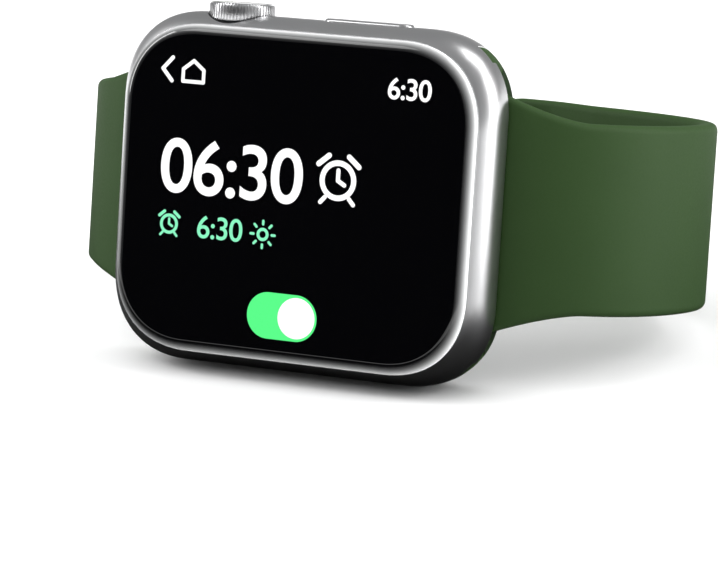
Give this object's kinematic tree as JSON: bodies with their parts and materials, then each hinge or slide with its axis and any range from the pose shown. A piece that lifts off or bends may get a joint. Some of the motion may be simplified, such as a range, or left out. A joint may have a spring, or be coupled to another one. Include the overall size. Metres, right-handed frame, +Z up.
{
  "type": "smartwatch",
  "caption": "Smartwatch with a rounded steel case, curved-edge glass, crown, side button and closed green rubber band, lying on its side.",
  "frame": {"origin": "bottom centre of the bounding box, on the surface that the watch lies on", "axes": "+X from the 12 o'clock end of the case towards its 6 o'clock end; +Z up, the crown side uppermost; the display faces -Y, leaning back by about 12.1 degrees"},
  "size_m": [0.0736, 0.0558, 0.0412],
  "materials": {
    "polished_steel": "mirror-polished stainless steel, not plated",
    "black_glass": "hard cover glass over a black display",
    "black_ceramic": "polished black ceramic and crystal",
    "green_rubber": "matte olive green fluoroelastomer",
    "seal_rubber": "black seal rubber",
    "dark_plastic": "dark moulded plastic",
    "circuit_board": "dark solder-masked circuit board",
    "battery_wrap": "foil-wrapped lithium cell",
    "copper": "copper winding and flexible circuit",
    "brass": "machined brass",
    "spring_steel": "satin spring steel"
  },
  "bodies": {
    "case_body": {"case": "polished_steel", "cover_glass": "black_glass", "display_gasket": "seal_rubber", "display_panel": "black_glass", "display_ribbon": "copper", "back_cover": "black_ceramic", "back_crystal": "black_ceramic", "back_gasket": "seal_rubber", "sensor_board": "circuit_board", "charging_coil": "copper", "logic_board": "circuit_board", "board_screw_1": "spring_steel", "board_screw_2": "spring_steel", "board_screw_3": "spring_steel", "board_screw_4": "spring_steel", "battery": "battery_wrap", "haptic_motor": "spring_steel", "speaker": "dark_plastic", "microphone": "brass", "crown_sleeve": "brass", "crown_seal_1": "seal_rubber", "crown_seal_2": "seal_rubber", "crown_switch": "dark_plastic", "crown_bracket": "spring_steel", "side_button_switch": "dark_plastic", "side_button_bracket": "spring_steel"},
    "crown_press_body": {"crown_pusher": "dark_plastic"},
    "crown": {"crown_knob": "polished_steel", "crown_cap": "black_ceramic", "crown_shaft": "spring_steel"},
    "side_button_body": {"side_button": "polished_steel"},
    "release_12": {"release_button_12": "polished_steel"},
    "release_6": {"release_button_6": "polished_steel"},
    "band": {"band_buckle_half": "green_rubber", "band_strap_half": "green_rubber", "band_stud": "polished_steel", "lug_12": "green_rubber", "lug_6": "green_rubber"},
    "latch_12": {"latch_pin_12": "spring_steel"},
    "latch_6": {"latch_pin_6": "spring_steel"}
  },
  "joints": [
    {"name": "crown_press", "type": "slide", "parent": "case_body", "child": "crown_press_body", "axis": [0, -0.2103, -0.9776], "range_m": [0, 0.00025], "stiffness_N_per_m": 6000},
    {"name": "crown_turn", "type": "hinge", "parent": "crown_press_body", "child": "crown", "pos_m": [-0.012, -0.0153, 0.03759], "axis": [0, 0.2103, 0.9776], "continuous": true},
    {"name": "side_button_press", "type": "slide", "parent": "case_body", "child": "side_button_body", "axis": [0, -0.2103, -0.9776], "range_m": [0, 0.0003], "stiffness_N_per_m": 6000},
    {"name": "band_slide", "type": "slide", "parent": "case_body", "child": "band", "axis": [0, 0.2103, 0.9776], "range_m": [0, 0.036]},
    {"name": "release_12_press", "type": "slide", "parent": "case_body", "child": "release_12", "axis": [0, -0.9776, 0.2103], "range_m": [0, 0.0006], "stiffness_N_per_m": 1500},
    {"name": "latch_12_press", "type": "slide", "parent": "band", "child": "latch_12", "axis": [0, -0.9776, 0.2103], "range_m": [0, 0.0006], "stiffness_N_per_m": 1500},
    {"name": "release_6_press", "type": "slide", "parent": "case_body", "child": "release_6", "axis": [0, -0.9776, 0.2103], "range_m": [0, 0.0006], "stiffness_N_per_m": 1500},
    {"name": "latch_6_press", "type": "slide", "parent": "band", "child": "latch_6", "axis": [0, -0.9776, 0.2103], "range_m": [0, 0.0006], "stiffness_N_per_m": 1500}
  ],
  "couplings": [
    {"joint": "latch_12_press", "follows": "release_12_press", "ratio": 1},
    {"joint": "latch_6_press", "follows": "release_6_press", "ratio": 1}
  ]
}
